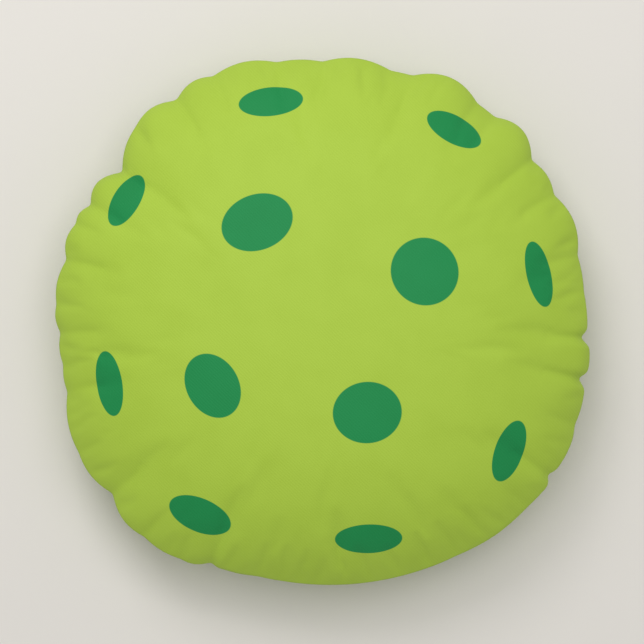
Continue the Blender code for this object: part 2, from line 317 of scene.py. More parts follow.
@dataclass(frozen=True)
class BrushedPolyester(Finish):
    """Woven polyester twill, brushed for a soft hand and printed in two colours.

    Brushing lifts the fibre ends, so it looks matt and soft, with ribs that only
    just show. Ink sinks in, so the print has no edge of its own.
    """

    name: str = "brushed_polyester_printed"
    roughness: float = 0.65
    specular: float = 0.3
    ground: str = "#A9C742"
    ground_deep: str = "#A2C03A"
    ink: str = "#128848"
    ink_deep: str = "#0D8242"
    spots: tuple[Spot, ...] = PRINT
    # The real twill is about 0.5 mm from rib to rib. It is drawn at 1.8 mm,
    # the finest that shows.
    rib_spacing: float = 1.8
    rib_waver: float = 2.5
    rib_tone: float = 0.5
    rib_relief: float = 0.6
    fuzz_size: float = 1.1
    relief: float = 0.25
    bump: float = 0.3
    blotch_size: float = 30.0
    edge_softness: float = 0.012

    def draw(self, tree: bpy.types.NodeTree, shader: bpy.types.Node) -> None:
        """Spots, soft blotches and diagonal ribs, all on the cloth's own flat coordinates.

        Args:
            tree: Node tree of the material.
            shader: Its Principled BSDF.
        """
        cloth = add_node(tree, "ShaderNodeUVMap", {"uv_map": "cloth"}).outputs["UV"]
        nearest = None
        for spot in self.spots:
            place = add_node(
                tree,
                "ShaderNodeMapping",
                {"vector_type": "TEXTURE"},
                {
                    "Vector": cloth,
                    "Location": (spot.x * MM, spot.y * MM, 0.0),
                    "Rotation": (0.0, 0.0, math.radians(spot.tilt)),
                    "Scale": (0.5 * spot.length * MM, 0.5 * spot.width * MM, 1.0),
                },
            )
            reach = add_node(
                tree, "ShaderNodeVectorMath", {"operation": "LENGTH"}, {0: place.outputs[0]}
            ).outputs["Value"]
            if nearest is not None:
                reach = add_node(
                    tree, "ShaderNodeMath", {"operation": "MINIMUM"}, {0: nearest, 1: reach}
                ).outputs[0]
            nearest = reach
        inked = add_node(
            tree,
            "ShaderNodeMapRange",
            None,
            {
                "Value": nearest,
                "From Min": 1.0 - self.edge_softness,
                "From Max": 1.0 + self.edge_softness,
                "To Min": 1.0,
                "To Max": 0.0,
            },
        ).outputs[0]
        blotch = add_node(
            tree,
            "ShaderNodeTexNoise",
            {"noise_dimensions": "2D"},
            {"Vector": cloth, "Scale": 1.0 / (self.blotch_size * MM), "Detail": 4.0},
        ).outputs["Fac"]
        ribs = add_node(
            tree,
            "ShaderNodeTexWave",
            {"bands_direction": "DIAGONAL"},
            {
                "Vector": cloth,
                # A diagonal wave is sin(10 (x + y)), so this is its scale for the spacing.
                "Scale": math.tau / (10.0 * math.sqrt(2.0) * self.rib_spacing * MM),
                "Distortion": self.rib_waver,
                "Detail": 2.0,
                "Detail Scale": 0.25,
            },
        ).outputs["Fac"]
        fuzz = add_node(
            tree,
            "ShaderNodeTexNoise",
            {"noise_dimensions": "2D"},
            {"Vector": cloth, "Scale": 1.0 / (self.fuzz_size * MM), "Detail": 3.0},
        ).outputs["Fac"]
        uneven = add_node(
            tree,
            "ShaderNodeMath",
            {"operation": "MULTIPLY_ADD"},
            {0: ribs, 1: self.rib_tone, 2: blotch},
        ).outputs[0]
        tones = []
        for light, deep in ((self.ground, self.ground_deep), (self.ink, self.ink_deep)):
            tone = add_node(
                tree,
                "ShaderNodeMix",
                {"data_type": "RGBA"},
                {MIX_SHARE: uneven, MIX_FROM: linear(deep), MIX_TO: linear(light)},
            )
            tones.append(tone.outputs[MIX_RESULT])
        colour = add_node(
            tree,
            "ShaderNodeMix",
            {"data_type": "RGBA"},
            {MIX_SHARE: inked, MIX_FROM: tones[0], MIX_TO: tones[1]},
        ).outputs[MIX_RESULT]
        tree.links.new(colour, shader.inputs["Base Color"])
        surface = add_node(
            tree,
            "ShaderNodeMath",
            {"operation": "MULTIPLY_ADD"},
            {0: ribs, 1: self.rib_relief, 2: fuzz},
        ).outputs[0]
        bump = add_node(
            tree,
            "ShaderNodeBump",
            None,
            {"Strength": self.bump, "Distance": self.relief * MM, "Height": surface},
        )
        tree.links.new(bump.outputs["Normal"], shader.inputs["Normal"])


@dataclass(frozen=True)
class SpeckledFinish(Finish):
    """Base for small plain pieces: two close tones in a fine grain, with a little bump."""

    light: str = "#FFFFFF"
    deep: str = "#EEEEEE"
    grain: float = 1.0
    bump: float = 0.2
    bump_height: float = 0.1

    def pattern(self, tree: bpy.types.NodeTree) -> bpy.types.NodeSocket:
        """Grain on object coordinates.

        Args:
            tree: Node tree of the material.

        Returns:
            Output that runs from 0 to 1.
        """
        place = add_node(tree, "ShaderNodeTexCoord").outputs["Object"]
        return add_node(
            tree,
            "ShaderNodeTexNoise",
            None,
            {"Vector": place, "Scale": 1.0 / (self.grain * MM), "Detail": 4.0},
        ).outputs["Fac"]

    def draw(self, tree: bpy.types.NodeTree, shader: bpy.types.Node) -> None:
        """Two tones and a bump, from the same pattern.

        Args:
            tree: Node tree of the material.
            shader: Its Principled BSDF.
        """
        pattern = self.pattern(tree)
        tone = add_node(
            tree,
            "ShaderNodeMix",
            {"data_type": "RGBA"},
            {MIX_SHARE: pattern, MIX_FROM: linear(self.deep), MIX_TO: linear(self.light)},
        )
        tree.links.new(tone.outputs[MIX_RESULT], shader.inputs["Base Color"])
        bump = add_node(
            tree,
            "ShaderNodeBump",
            None,
            {"Strength": self.bump, "Distance": self.bump_height * MM, "Height": pattern},
        )
        tree.links.new(bump.outputs["Normal"], shader.inputs["Normal"])


@dataclass(frozen=True)
class BandedFinish(SpeckledFinish):
    """Speckled finish with even bands across the grain, as threads and ribs give."""

    spacing: float = 1.0
    turn: float = 0.0
    waver: float = 1.5

    def pattern(self, tree: bpy.types.NodeTree) -> bpy.types.NodeSocket:
        """Bands on object coordinates, roughened by a little noise.

        Args:
            tree: Node tree of the material.

        Returns:
            Output that runs from 0 to 1.
        """
        place = add_node(tree, "ShaderNodeTexCoord").outputs["Object"]
        turned = add_node(
            tree,
            "ShaderNodeMapping",
            None,
            {"Vector": place, "Rotation": (0.0, 0.0, math.radians(self.turn))},
        )
        return add_node(
            tree,
            "ShaderNodeTexWave",
            None,
            {
                "Vector": turned.outputs[0],
                # A wave along X is sin(20 x), so this is its scale for the spacing.
                "Scale": math.tau / (20.0 * self.spacing * MM),
                "Distortion": self.waver,
                "Detail": 2.0,
            },
        ).outputs["Fac"]


# Spun polyester sewing thread: matt, with fine twisted plies across it.
COVER_THREAD = BandedFinish(
    name="spun_polyester_thread_lime", roughness=0.7, sheen=0.2, specular=0.3,
    light="#A9C552", deep="#8FAE3A", spacing=0.6, turn=40.0, bump=0.4,
)
CASING_THREAD = BandedFinish(
    name="spun_polyester_thread_white", roughness=0.7, sheen=0.2, specular=0.3,
    light="#F2F1EC", deep="#DAD9D3", spacing=0.6, turn=40.0, bump=0.4,
)
# Woven polyester zip tape: a herringbone so fine that it reads as close ribs;
# its 0.5 mm ribs are drawn at 1.2 mm.
ZIP_TAPE = BandedFinish(
    name="woven_polyester_tape", roughness=0.8, sheen=0.1, specular=0.3,
    light="#A0BE45", deep="#8CAA37", spacing=1.2, turn=62.0, bump=0.4,
)
# Drawn nylon monofilament, dyed: smooth and a little glossy.
ZIP_COIL = SpeckledFinish(
    name="nylon_monofilament", roughness=0.35, specular=0.5, coat=0.1,
    light="#A6C24C", deep="#98B540", grain=4.0, bump=0.05,
)
# Die-cast zinc, sprayed and baked: glossy enamel with a slight orange peel.
ZIP_METAL = SpeckledFinish(
    name="enamelled_zinc", roughness=0.32, specular=0.5, coat=0.35,
    light="#9DBB40", deep="#93B138", grain=0.8, bump=0.08, bump_height=0.05,
)
# Spun-bonded polypropylene casing: dull white cloth with a pressed grid of dots;
# the 0.8 mm dots are drawn at 2.4 mm.
CASING_CLOTH = SpeckledFinish(
    name="spun_bonded_polypropylene", roughness=0.9, sheen=0.15, specular=0.25,
    light="#F4F3EE", deep="#E3E2DC", grain=2.4, bump=0.35, bump_height=0.2,
)
# Carded hollow polyester fibre: bright, soft and matt, in loose tufts.
FIBRE_FILL = SpeckledFinish(
    name="polyester_fibre_wadding", roughness=0.95, sheen=0.4, specular=0.2,
    light="#F8F8F6", deep="#DDDDD9", grain=7.0, bump=0.8, bump_height=1.5,
)
# Woven satin ribbon, slit and left blank: long floats give it a soft gloss.
SATIN = BandedFinish(
    name="woven_satin_ribbon", roughness=0.4, sheen=0.3, specular=0.5,
    light="#F5F5F1", deep="#E4E4DF", spacing=0.8, turn=90.0, bump=0.15,
)


# --- the rim -------------------------------------------------------------------


@dataclass(frozen=True)
class Tuck:
    """Where gathering draws the seam in, and how far the cloth bellies out up to the next."""

    degrees: float
    radius: float
    fullness: float


@dataclass(frozen=True)
class Rim:
    """Outline of the stuffed pillow, and the stretch of it that holds the zip."""

    tucks: tuple[Tuck, ...] = (
        Tuck(7.0, 185.5, 0.5),
        Tuck(15.0, 186.0, 5.0),
        Tuck(29.0, 186.5, 3.0),
        Tuck(38.0, 187.0, 8.0),
        Tuck(50.0, 190.0, 0.0),
        Tuck(55.0, 190.0, 7.5),
        Tuck(70.0, 186.0, 0.0),
        Tuck(75.0, 184.7, 4.0),
        Tuck(90.0, 184.5, 1.0),
        Tuck(100.0, 187.0, 4.0),
        Tuck(114.0, 191.0, 4.5),
        Tuck(123.3, 188.0, 4.5),
        Tuck(133.5, 191.5, 2.5),
        Tuck(143.0, 177.0, 7.5),
        Tuck(153.0, 183.3, 3.0),
        Tuck(158.0, 187.5, 3.5),
        Tuck(166.0, 186.0, 2.5),
        Tuck(176.0, 188.5, 2.0),
        Tuck(182.0, 185.3, 1.5),
        Tuck(189.0, 185.5, 1.0),
        Tuck(195.0, 186.5, 2.5),
        Tuck(208.0, 195.0, 3.0),
        Tuck(219.0, 190.5, 4.0),
        Tuck(230.0, 196.0, 1.5),
        Tuck(239.0, 194.0, 2.5),
        Tuck(245.0, 186.0, 0.0),
        Tuck(246.5, 188.8, 0.8),
        Tuck(256.0, 184.4, 0.6),
        Tuck(265.0, 182.5, 1.0),
        Tuck(286.0, 185.5, 0.5),
        Tuck(300.0, 189.0, 3.0),
        Tuck(321.0, 193.2, 0.8),
        Tuck(324.0, 194.5, 0.0),
        Tuck(326.0, 190.3, 0.0),
        Tuck(327.5, 194.4, 0.8),
        Tuck(335.0, 194.6, 0.3),
        Tuck(338.0, 192.0, 0.8),
        Tuck(346.0, 190.6, 0.0),
        Tuck(348.0, 184.0, 0.0),
        Tuck(349.3, 190.2, 0.6),
        Tuck(355.0, 188.6, 0.0),
        Tuck(357.0, 181.5, 0.0),
        Tuck(358.3, 186.6, 0.3),
    )
    belly_power: float = 0.9
    mean_radius: float = 190.0
    zip_centre: Point = (5.0, 20.0)
    zip_radius: float = 204.5
    arc: Point = (246.0, 321.0)
    opening: Point = (249.0, 318.0)
    sway: float = 1.6
    # Waves of the seam's height: strength, number round the rim and phase
    waves: tuple[tuple[float, float, float], ...] = ((1.0, 5.0, 0.6), (0.7, 11.0, 2.0))

    def zip_reach(self, degrees: float) -> float:
        """Distance from the panels' centre to the zip's arc in a direction.

        Args:
            degrees: Direction from the panels' centre.

        Returns:
            The distance in millimetres.
        """
        ahead = polar(1.0, degrees)
        centre = Vector((*self.zip_centre, 0.0))
        along = centre.dot(ahead)
        return along + math.sqrt(self.zip_radius**2 - centre.length_squared + along**2)

    def zip_degrees(self, degrees: float) -> float:
        """Angle about the zip's own centre of the rim point in a direction."""
        place = polar(self.zip_reach(degrees), degrees) - Vector((*self.zip_centre, 0.0))
        return math.degrees(math.atan2(place.y, place.x)) % 360.0

    def opened(self, degrees: float) -> float:
        """How far the seam is opened for the zip, from 0 to 1.

        Args:
            degrees: Direction from the panels' centre.

        Returns:
            1 along the zip, 0 where the seam is sewn.
        """
        turn = self.zip_degrees(degrees)
        into = (turn - self.arc[0]) / (self.opening[0] - self.arc[0])
        out = (self.arc[1] - turn) / (self.arc[1] - self.opening[1])
        return ease(min(into, out))

    def outline(self, degrees: float) -> float:
        """Radius of the rim in a direction.

        Args:
            degrees: Direction from the panels' centre.

        Returns:
            The radius in millimetres.
        """
        degrees %= 360.0
        first = self.tucks[0]
        if degrees < first.degrees:
            degrees += 360.0
        ring = [*self.tucks, Tuck(first.degrees + 360.0, first.radius, first.fullness)]
        for here, after in zip(ring, ring[1:]):
            if degrees <= after.degrees:
                share = (degrees - here.degrees) / (after.degrees - here.degrees)
                belly = here.fullness * math.sin(math.pi * share) ** self.belly_power
                radius = between(here.radius, after.radius, share) + belly
                return radius + max(0.0, self.zip_reach(degrees) - radius) * self.opened(degrees)
        raise ValueError(f"no tuck follows {degrees} degrees")

    def datum(self, degrees: float) -> float:
        """Radius that insets are measured from: the outline, or the zip's arc."""
        return between(self.outline(degrees), self.zip_reach(degrees), self.opened(degrees))

    def lift(self, degrees: float) -> float:
        """Height of the seam, which wanders a little except along the zip.

        Args:
            degrees: Direction from the panels' centre.

        Returns:
            The height above the seam plane in millimetres.
        """
        turn = math.radians(degrees)
        wander = sum(part * math.sin(count * turn + phase) for part, count, phase in self.waves)
        return self.sway * wander * (1.0 - self.opened(degrees)) ** 2

    def place(self, degrees: float, inset: float, height: float, side: Side) -> Vector:
        """Point of a row, about the panels' centre.

        Args:
            degrees: Direction from the panels' centre.
            inset: How far in from the rim.
            height: How far above the seam plane, or below it on the back.
            side: Front or back.

        Returns:
            The point in millimetres.
        """
        flat = polar(self.datum(degrees) - inset, degrees)
        flat.z = self.lift(degrees) + side.value * height
        return flat


# --- cloth panels --------------------------------------------------------------


@dataclass
class Net:
    """A round panel as rings of vertices, rim first, with fewer towards the middle."""

    rings: int = 44
    sectors: int = 360
    cloth_radius: float = 203.0
    least_spacing: float = 2.9
    share: list[float] = field(default_factory=list)
    degrees: list[float] = field(default_factory=list)
    loops: list[list[int]] = field(default_factory=list)
    faces: list[tuple[int, ...]] = field(default_factory=list)

    def __post_init__(self) -> None:
        """Lay out the rings, the pole and the faces."""
        for ring in range(self.rings, 0, -1):
            count = self.sectors
            share = ring / self.rings
            while self.crowded(share, count):
                count //= 2
            start = len(self.share)
            self.loops.append(list(range(start, start + count)))
            self.share += [share] * count
            self.degrees += [360.0 * k / count for k in range(count)]
        self.share.append(0.0)
        self.degrees.append(0.0)
        for outer, inner in zip(self.loops, self.loops[1:]):
            self.join(outer, inner)
        pole, last = len(self.share) - 1, self.loops[-1]
        for k, corner in enumerate(last):
            self.faces.append((corner, last[(k + 1) % len(last)], pole))

    def crowded(self, share: float, count: int) -> bool:
        """True if a ring's vertices are too close and can be halved."""
        spacing = 2.0 * math.pi * share * self.cloth_radius / count
        return spacing < self.least_spacing and count % 2 == 0

    def join(self, outer: list[int], inner: list[int]) -> None:
        """Fill the space between two rings, where the inner one may have half as many.

        Args:
            outer: Vertex numbers of the outer ring.
            inner: Vertex numbers of the inner ring.
        """
        if len(outer) == len(inner):
            self.faces += strip(outer, inner)
            return
        for k in range(len(inner)):
            a, b, c = (outer[(2 * k + step) % len(outer)] for step in range(3))
            here, after = inner[k], inner[(k + 1) % len(inner)]
            self.faces += [(a, b, here), (b, after, here), (b, c, after)]

    def neighbours(self) -> np.ndarray:
        """Pairs of vertices that share an edge, both ways round.

        Returns:
            One row of two vertex numbers for each pair.
        """
        pairs = set()
        for face in self.faces:
            for a, b in zip(face, (*face[1:], face[0])):
                pairs.update(((a, b), (b, a)))
        return np.array(sorted(pairs))

    def evened(self, values: np.ndarray, rounds: int) -> np.ndarray:
        """Values at the vertices, moved half-way to their neighbours' mean some number of times.

        Args:
            values: One value for each vertex.
            rounds: How many times.

        Returns:
            The evened values.
        """
        pairs = self.neighbours()
        count = np.bincount(pairs[:, 0], minlength=len(values))
        for _ in range(rounds):
            total = np.zeros_like(values)
            np.add.at(total, pairs[:, 0], values[pairs[:, 1]])
            values = 0.5 * values + 0.5 * (total.T / count).T
        return values


def strip(outer: Sequence[int], inner: Sequence[int]) -> list[tuple[int, ...]]:
    """Faces between two rings of the same count, facing up if outer is outside.

    Args:
        outer: Vertex numbers of the outer ring.
        inner: Vertex numbers of the inner ring.

    Returns:
        Vertex numbers of each face.
    """
    count = len(outer)
    return [
        (outer[k], outer[(k + 1) % count], inner[(k + 1) % count], inner[k]) for k in range(count)
    ]


@dataclass
class Stuffing:
    """How the stuffed panels stand: their rise, and the cloth that is blown up to it."""

    front_rise: float = 60.0
    back_rise: float = 56.0
    roll: float = 5.0
    crown_power: float = 2.3
    shoulder_power: float = 0.62
    # The rim's puckers fade towards the middle as this power of the share.
    pucker_power: int = 6
    # The flat cloth starts part-way up and a little slack, so that pressure
    # fills it to the rise and leaves the spare cloth in folds at the rim.
    start_share: float = 0.75
    ripple_height: float = 0.5
    ripple_scale: float = 0.07
    ripple_power: int = 8
    side_shift: float = 9.0
    slack: float = 0.02
    pressure: float = 12.0
    frames: int = 30
    back_press: float = 1.07
    press_softness: float = 1.2

    def rise(self, side: Side) -> float:
        """Rise of a panel above its widest line."""
        return (self.front_rise if side is Side.FRONT else self.back_rise) - self.roll

    def dome(self, share: float, side: Side) -> float:
        """Height of the smooth dome above the panel's widest line."""
        rest = max(0.0, 1.0 - share**self.crown_power)
        return self.rise(side) * rest**self.shoulder_power

    def smooth_place(self, rim: Rim, share: float, degrees: float, side: Side) -> Vector:
        """Point of the smooth dome, about the panels' centre, height upwards on both sides.

        Args:
            rim: Outline that the dome ends at.
            share: Share of the way from the centre to the rim.
            degrees: Direction from the panels' centre.
            side: Front or back.

        Returns:
            The point in millimetres.
        """
        pucker = share**self.pucker_power
        radius = share * between(rim.mean_radius, rim.outline(degrees), pucker)
        place = polar(radius, degrees)
        place.z = self.dome(share, side)
        return place

    def start(self, rim: Rim, net: Net, side: Side) -> np.ndarray:
        """Slack cloth before it is blown up, with a slight ripple that seeds its folds.

        Args:
            rim: Outline that the cloth is sewn to.
            net: Vertices of the cloth.
            side: Front or back.

        Returns:
            One row of x, y and height for each vertex.
        """
        places = []
        for share, degrees in zip(net.share, net.degrees):
            place = self.smooth_place(rim, share, degrees, side)
            x, y = self.ripple_scale * place.x, self.ripple_scale * place.y
            seed = Vector((x, y, self.side_shift * side.value))
            ripple = self.ripple_height * noise.noise(seed) * (1.0 - share**self.ripple_power)
            place.z = self.start_share * place.z + (ripple if share < 1.0 else 0.0)
            places.append(place)
        return np.array(places)

    def blow_up(self, rim: Rim, net: Net, side: Side) -> np.ndarray:
        """Stuffed shape of a panel in millimetres, from the cloth simulation.

        Args:
            rim: Outline that the panel's edge is sewn to.
            net: Vertices and faces of the panel.
            side: Front or back.

        Returns:
            One row of x, y and height for each vertex, height upwards on both sides.
        """
        cloth = object_from("panel_cloth", self.start(rim, net, side) * MM, net.faces)
        edge = cloth.vertex_groups.new(name="sewn_edge")
        edge.add(net.loops[0], 1.0, "REPLACE")
        modifier = cloth.modifiers.new("cloth", "CLOTH")
        settings = modifier.settings
        values = {
            "quality": 6,
            "mass": 0.2,
            "tension_stiffness": 30.0,
            "compression_stiffness": 4.0,
            "shear_stiffness": 2.0,
            "bending_stiffness": 0.5,
            "tension_damping": 5.0,
            "compression_damping": 5.0,
            "shear_damping": 5.0,
            "bending_damping": 0.5,
            "vertex_group_mass": edge.name,
            "pin_stiffness": 50.0,
            "shrink_min": -self.slack,
            "use_pressure": True,
            "uniform_pressure_force": self.pressure,
            "air_damping": 2.0,
        }
        for name, value in values.items():
            setattr(settings, name, value)
        settings.effector_weights.gravity = 0.0
        modifier.collision_settings.use_collision = False
        modifier.collision_settings.use_self_collision = False
        scene = bpy.context.scene
        scene.frame_start = modifier.point_cache.frame_start = 1
        scene.frame_end = modifier.point_cache.frame_end = self.frames
        for frame in range(1, self.frames + 1):
            scene.frame_set(frame)
        blown = cloth.evaluated_get(bpy.context.evaluated_depsgraph_get())
        places = np.array([vertex.co for vertex in blown.data.vertices]) / MM
        bpy.data.objects.remove(cloth)
        scene.frame_set(1)
        return self.settle(places, side)

    def settle(self, places: np.ndarray, side: Side) -> np.ndarray:
        """Scale a blown panel to its rise, and press the back flat where it lies.

        Args:
            places: One row of x, y and height for each vertex.
            side: Front or back.

        Returns:
            The settled places.
        """
        height = np.maximum(places[:, 2], 0.0)
        rise = self.rise(side)
        height *= rise / height.max()
        if side is Side.BACK:
            over = (rise - self.back_press * height) / self.press_softness
            height = rise - self.press_softness * np.logaddexp(0.0, over)
            height = np.maximum(height, 0.0) * rise / height.max()
        settled = places.copy()
        settled[:, 2] = height
        return settled


@dataclass
class Panel:
    """One stuffed panel: its net, its blown shape and a calmer shape for what lies under it."""

    rim: Rim
    stuffing: Stuffing
    net: Net
    side: Side
    calm_rounds: int = 2
    sway_power: int = 10
    row_spacing: float = 2.0

    def __post_init__(self) -> None:
        """Blow the panel up and work out the calm shape."""
        self.places = self.stuffing.blow_up(self.rim, self.net, self.side)
        self.places[:, 2] += self.stuffing.roll
        self.base, self.normals = self.smooth_frame()
        self.calm = self.calm_depth()

    def smooth_frame(self) -> tuple[np.ndarray, np.ndarray]:
        """Smooth dome under each vertex, and its normals.

        Returns:
            Two arrays with one row for each vertex: places and unit normals.
        """
        step = 0.002
        bases, normals = [], []
        for share, degrees in zip(self.net.share, self.net.degrees):
            inner = self.stuffing.smooth_place(self.rim, max(share - step, 0.0), degrees, self.side)
            outer = self.stuffing.smooth_place(self.rim, min(share + step, 1.0), degrees, self.side)
            base = self.stuffing.smooth_place(self.rim, share, degrees, self.side)
            base.z += self.stuffing.roll
            run = (outer.to_2d() - inner.to_2d()).length
            fall = inner.z - outer.z
            across = polar(1.0, degrees)
            normal = Vector((fall * across.x, fall * across.y, run)).normalized()
            bases.append(base)
            normals.append(normal if share > 0.0 else Vector((0.0, 0.0, 1.0)))
        return np.array(bases), np.array(normals)

    def calm_depth(self) -> np.ndarray:
        """Distance of the calm shape from the smooth dome: never above any fold nearby.

        Returns:
            One distance for each vertex, along the dome's normal.
        """
        depth = np.einsum("ij,ij->i", self.places - self.base, self.normals)
        pairs = self.net.neighbours()
        for _ in range(self.calm_rounds):
            lowest = depth.copy()
            np.minimum.at(lowest, pairs[:, 0], depth[pairs[:, 1]])
            depth = lowest
        return self.net.evened(depth, self.calm_rounds)

    def under(self, depth: float) -> np.ndarray:
        """Calm shape a depth below the folds, one row for each vertex of the net."""
        return self.base + self.normals * (self.calm - depth)[:, None]

    def spot_under(self, share: float, degrees: float, depth: float) -> Vector:
        """One point of the calm shape, for a piece that is smaller than the panel.

        Args:
            share: Share of the way from the centre to the rim.
            degrees: Direction from the panels' centre.
            depth: How far under the calm shape.

        Returns:
            The point in millimetres, height upwards on both sides.
        """
        places = self.under(depth)
        exact = (1.0 - share) * self.net.rings
        found = []
        for ring in (int(exact), int(exact) + 1):
            loop = self.net.loops[ring]
            turn = degrees % 360.0 * len(loop) / 360.0
            here, after = loop[int(turn) % len(loop)], loop[(int(turn) + 1) % len(loop)]
            found.append(places[here] + (places[after] - places[here]) * (turn % 1.0))
        place = found[0] + (found[1] - found[0]) * (exact % 1.0)
        return Vector(place)

    def shell(self, name: str, top: np.ndarray, rows: list[list[Vector]]) -> bpy.types.Object:
        """Open shell: a panel's net with rows of points that carry its edge inwards.

        Args:
            name: Name of the piece.
            top: Places of the net, height upwards.
            rows: Rows past the rim, each with a point for every sector, in true heights.

        Returns:
            The piece in world metres, facing out, with flat cloth coordinates as its UV map.
        """
        sign = self.side.value
        upper = top.copy()
        edge = np.array(self.net.share) ** self.sway_power
        sway = np.array([self.rim.lift(degrees) for degrees in self.net.degrees])
        upper[:, 2] = sign * upper[:, 2] + sway * edge
        places = np.vstack([upper, *[np.array(row) for row in rows]])
        faces = list(self.net.faces)
        outer = self.net.loops[0]
        cloth = [Vector(flat) for flat in self.flat_cloth(top)]
        for number, row in enumerate(rows):
            start = len(upper) + number * len(row)
            ring = list(range(start, start + len(row)))
            faces += strip(ring, outer)
            beyond = self.net.cloth_radius + self.row_spacing * (number + 1)
            cloth += [polar(beyond, self.net.degrees[k]) for k in range(len(row))]
            outer = ring
        if self.side is Side.BACK:
            faces = [face[::-1] for face in faces]
        made = object_from(name, (places + np.array(PLACES.centre)) * MM, faces)
        layer = made.data.uv_layers.new(name="cloth")
        for loop in made.data.loops:
            flat = cloth[loop.vertex_index]
            layer.data[loop.index].uv = (sign * flat.x * MM, flat.y * MM)
        return made

    def flat_cloth(self, top: np.ndarray) -> np.ndarray:
        """Flat cloth under each vertex. The front's goes by place, so no fold bends its print.

        Args:
            top: Places of the net.

        Returns:
            One row of x and y on the flat cloth for each vertex.
        """
        radius = self.net.cloth_radius
        if self.side is Side.FRONT:
            return top[:, :2] * radius / self.rim.mean_radius
        spread = zip(self.net.share, self.net.degrees)
        return np.array([polar(share * radius, degrees).to_2d() for share, degrees in spread])

    def row(self, sewn: Point, zipped: Point) -> list[Vector]:
        """Row of points round the rim, between its sewn place and its place along the zip.

        Args:
            sewn: Inset and height where the seam is sewn.
            zipped: Inset and height along the zip.

        Returns:
            One point for each sector.
        """
        made = []
        for corner in self.net.loops[0]:
            degrees = self.net.degrees[corner]
            opened = self.rim.opened(degrees)
            inset, height = (between(a, b, opened) for a, b in zip(sewn, zipped))
            made.append(self.rim.place(degrees, inset, height, self.side))
        return made


@dataclass
class Places:
    """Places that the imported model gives, in millimetres."""

    centre: Vector = field(default_factory=Vector)
    arc_centre: Vector = field(default_factory=Vector)

    def read(self, frame: dict, rim: Rim) -> None:
        """Take the centre of the zip's arc from its joint, and the panels' centre from that.

        Args:
            frame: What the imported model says.
            rim: Rim that knows where the arc's centre is.
        """
        joints = {joint["name"]: joint for joint in frame["joints"]}
        self.arc_centre = Vector(joints["zip_slide"]["pos_m"]) / MM
        self.centre = self.arc_centre - Vector((*rim.zip_centre, 0.0))


PLACES = Places()


# --- sub-assemblies ------------------------------------------------------------


@dataclass
class Cover:
    """Printed cover: two panels, the stitches that join them and the care label."""

    rim: Rim
    panels: dict[Side, Panel]
    cloth_thickness: float = 0.7
    stitch_pitch: float = 3.2
    stitch_length: float = 2.5
    thread_radius: float = 0.3
    seam_inset: float = 2.55
    label_size: Point = (30.0, 45.0)
    label_degrees: float = 236.0
    label_share: float = 0.88
    # Where the rim rolls in, the groove's floor, and the allowance inside it
    rows: tuple[tuple[Point, Point], ...] = (
        ((0.35, 4.75), (0.35, 4.75)),
        ((1.2, 4.3), (1.2, 4.3)),
        ((2.5, 3.0), (2.5, 3.0)),
        ((2.95, 1.2), (2.95, 1.5)),
        ((3.2, 0.2), (3.1, 0.62)),
        ((4.4, 0.2), (4.3, 0.62)),
        ((6.0, 0.2), (4.7, 3.5)),
        ((10.0, 0.2), (12.2, 3.5)),
        ((12.0, 0.2), (13.0, 1.2)),
        ((15.0, 0.2), (25.0, 1.2)),
    )

    def build(self) -> None:
        """Make, dress and place every piece of the cover."""
        for side, panel in self.panels.items():
            self.panel(side, panel)
        self.seam()
        self.care_label()

    def panel(self, side: Side, panel: Panel) -> None:
        """One panel of cloth with its rolled rim and its allowance.

        Args:
            side: Front or back.
            panel: Its stuffed shape.
        """
        name = f"cover_{side.word}_cloth"
        rows = [panel.row(sewn, zipped) for sewn, zipped in self.rows]
        made = panel.shell(name, panel.places, rows)
        add_modifier(made, "SUBSURF", levels=1, render_levels=1)
        add_modifier(made, "SOLIDIFY", thickness=self.cloth_thickness * MM, offset=-1.0)
        made.data.shade_smooth()
        finish_piece(made, BrushedPolyester(), f"cover_{side.word}_panel")

    def seam(self) -> None:
        """Stitches in the groove, from one end of the zip round to the other."""
        degrees = 0.0
        places = []
        while degrees < 360.0:
            if self.rim.opened(degrees) == 0.0:
                places.append(rim_matrix(self.rim, degrees, self.seam_inset, 0.0))
            degrees += math.degrees(self.stitch_pitch / self.rim.outline(degrees))
        template = stitch(self.thread_radius, self.stitch_length)
        made = copies(template, places, "cover_seam_stitches")
        finish_piece(made, COVER_THREAD, "cover_seam_thread")

    def care_label(self) -> None:
        """Blank label that lies between the back panel and the insert."""
        panel, middle = self.panels[Side.BACK], (self.label_degrees, self.label_share)
        satin_label(panel, "care_label_satin", "cover_care_label", middle, self.label_size)


